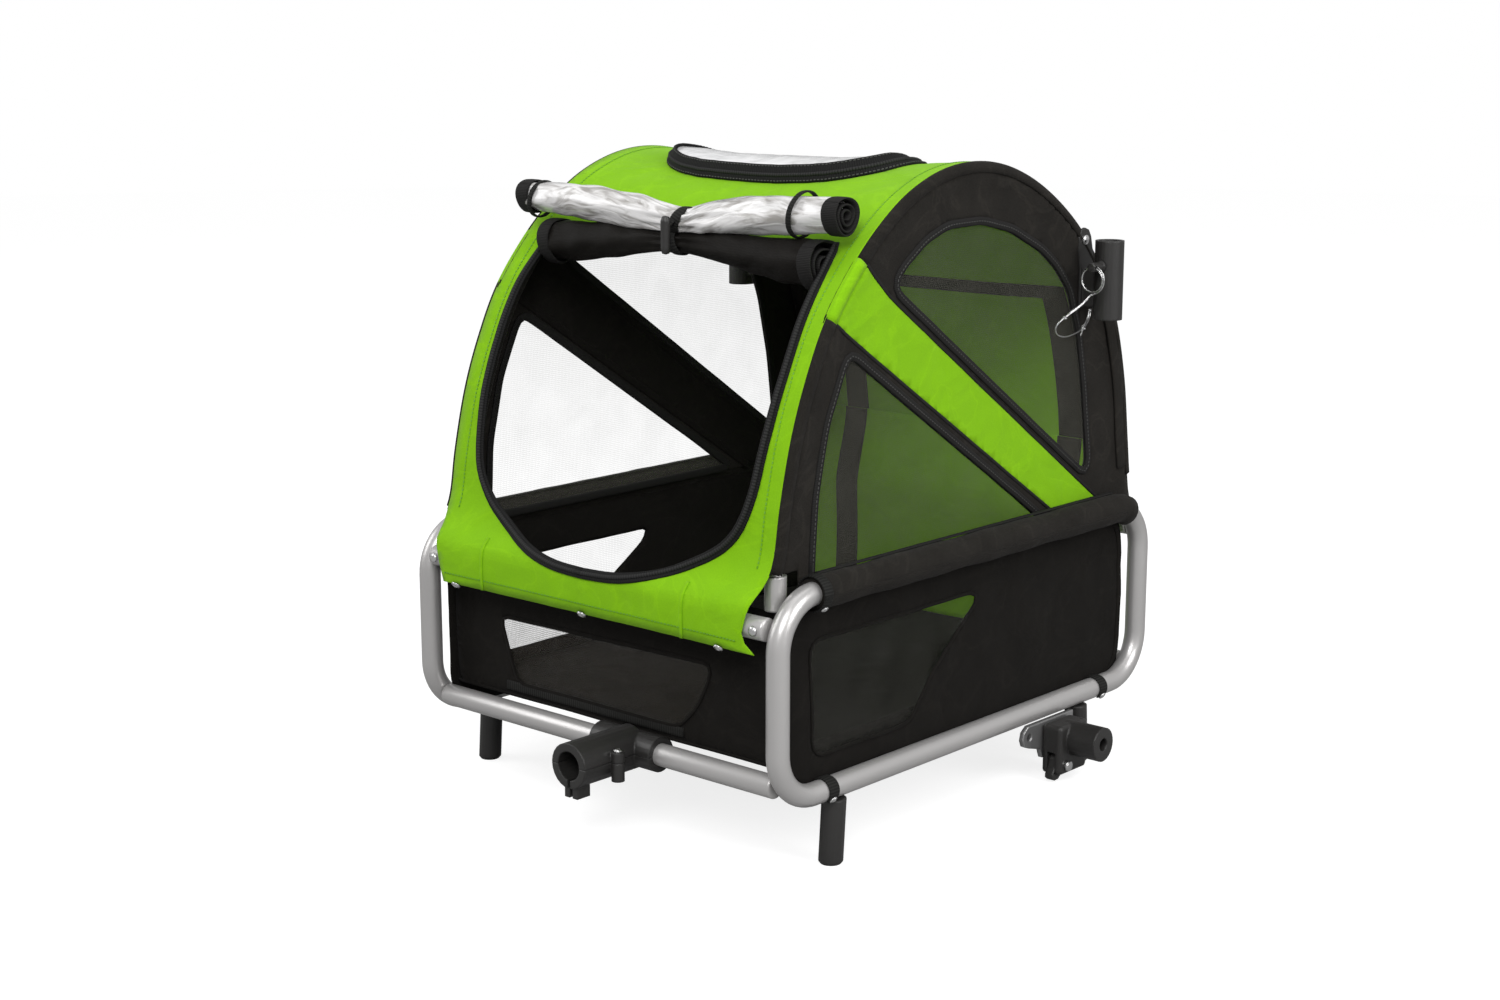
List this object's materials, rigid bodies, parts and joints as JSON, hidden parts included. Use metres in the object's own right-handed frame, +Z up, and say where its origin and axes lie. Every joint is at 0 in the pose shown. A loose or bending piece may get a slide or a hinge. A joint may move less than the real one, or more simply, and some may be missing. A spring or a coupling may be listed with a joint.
{
  "type": "bicycle trailer cabin",
  "caption": "Cloth cabin of a small bicycle trailer on a tube frame, with mesh windows, a roll-up front door, wheel hub receivers, a tow arm socket and push handle sockets.",
  "frame": {"origin": "on the ground under the middle of the whole, on the cabin's centre plane", "axes": "+Z up, -Y to the front with the door and the tow socket, +X to the side with the lanyard"},
  "size_m": [0.616, 0.6898, 0.649],
  "materials": {
    "green_cloth": "woven",
    "black_cloth": "woven",
    "mesh_cloth": "open mesh",
    "clear_film": "clear",
    "grey_tube": "satin",
    "black_plastic": "moulded",
    "zinc_steel": "zinc plated",
    "bracket_steel": "plain"
  },
  "bodies": {
    "cabin": {"canopy_front": "green_cloth", "canopy_rear": "green_cloth", "canopy_roof": "green_cloth", "clear_cover_roll": "clear_film", "cross_tube_low_front": "grey_tube", "cross_tube_low_rear": "grey_tube", "cross_tube_top_front": "grey_tube", "cross_tube_top_rear": "grey_tube", "frame_screw_left": "zinc_steel", "frame_screw_right": "zinc_steel", "handle_socket_left": "black_plastic", "handle_socket_right": "black_plastic", "hoop_left": "grey_tube", "hoop_right": "grey_tube", "hub_plate_left": "bracket_steel", "hub_plate_right": "bracket_steel", "hub_receiver_left": "black_plastic", "hub_receiver_right": "black_plastic", "leg_front_left": "black_plastic", "leg_front_right": "black_plastic", "leg_rear_left": "black_plastic", "leg_rear_right": "black_plastic", "lever_bolt_left": "zinc_steel", "lever_bolt_right": "zinc_steel", "mesh_door_roll": "mesh_cloth", "pin_lanyard": "zinc_steel", "rail_sleeve_left": "black_cloth", "rail_sleeve_right": "black_cloth", "side_arch_left": "black_cloth", "side_arch_right": "black_cloth", "side_band_left": "green_cloth", "side_band_right": "green_cloth", "side_front_cloth_left": "black_cloth", "side_front_cloth_right": "black_cloth", "side_loop_left": "grey_tube", "side_loop_right": "grey_tube", "side_mesh_low_left": "mesh_cloth", "side_mesh_low_right": "mesh_cloth", "side_mesh_top_left": "mesh_cloth", "side_mesh_top_right": "mesh_cloth", "socket_screw_left": "zinc_steel", "socket_screw_right": "zinc_steel", "sun_window_film": "clear_film", "tie_toggle": "black_plastic", "tow_clamp_lower": "black_plastic", "tow_clamp_screw": "zinc_steel", "tow_clamp_upper": "black_plastic", "tub_floor": "black_cloth", "tub_front": "black_cloth", "tub_rear": "green_cloth", "tub_side_left": "black_cloth", "tub_side_right": "black_cloth"},
    "lever_left": {"release_lever_left": "black_plastic"},
    "pin_left": {"lock_pin_left": "black_plastic"},
    "ring_left": {"pull_ring_left": "zinc_steel"},
    "lever_right": {"release_lever_right": "black_plastic"},
    "pin_right": {"lock_pin_right": "black_plastic"},
    "ring_right": {"pull_ring_right": "zinc_steel"}
  },
  "joints": [
    {"name": "lever_left_press", "type": "hinge", "parent": "cabin", "child": "lever_left", "pos_m": [-0.262, 0.1511, 0.018], "axis": [-1, 0, 0], "range_deg": [0, 40], "stiffness_Nm_per_rad": 0.08},
    {"name": "pin_left_pull", "type": "slide", "parent": "cabin", "child": "pin_left", "axis": [0, -1, 0], "range_m": [0, 0.045]},
    {"name": "ring_left_swing", "type": "hinge", "parent": "pin_left", "child": "ring_left", "pos_m": [-0.2552, 0.2007, 0.535], "axis": [1, 0, 0], "range_deg": [-60, 30]},
    {"name": "lever_right_press", "type": "hinge", "parent": "cabin", "child": "lever_right", "pos_m": [0.262, 0.1511, 0.018], "axis": [-1, 0, 0], "range_deg": [0, 40], "stiffness_Nm_per_rad": 0.08},
    {"name": "pin_right_pull", "type": "slide", "parent": "cabin", "child": "pin_right", "axis": [0, -1, 0], "range_m": [0, 0.045], "deforming": ["pin_lanyard"]},
    {"name": "ring_right_swing", "type": "hinge", "parent": "pin_right", "child": "ring_right", "pos_m": [0.2552, 0.2007, 0.535], "axis": [1, 0, 0], "range_deg": [-60, 30]}
  ]
}
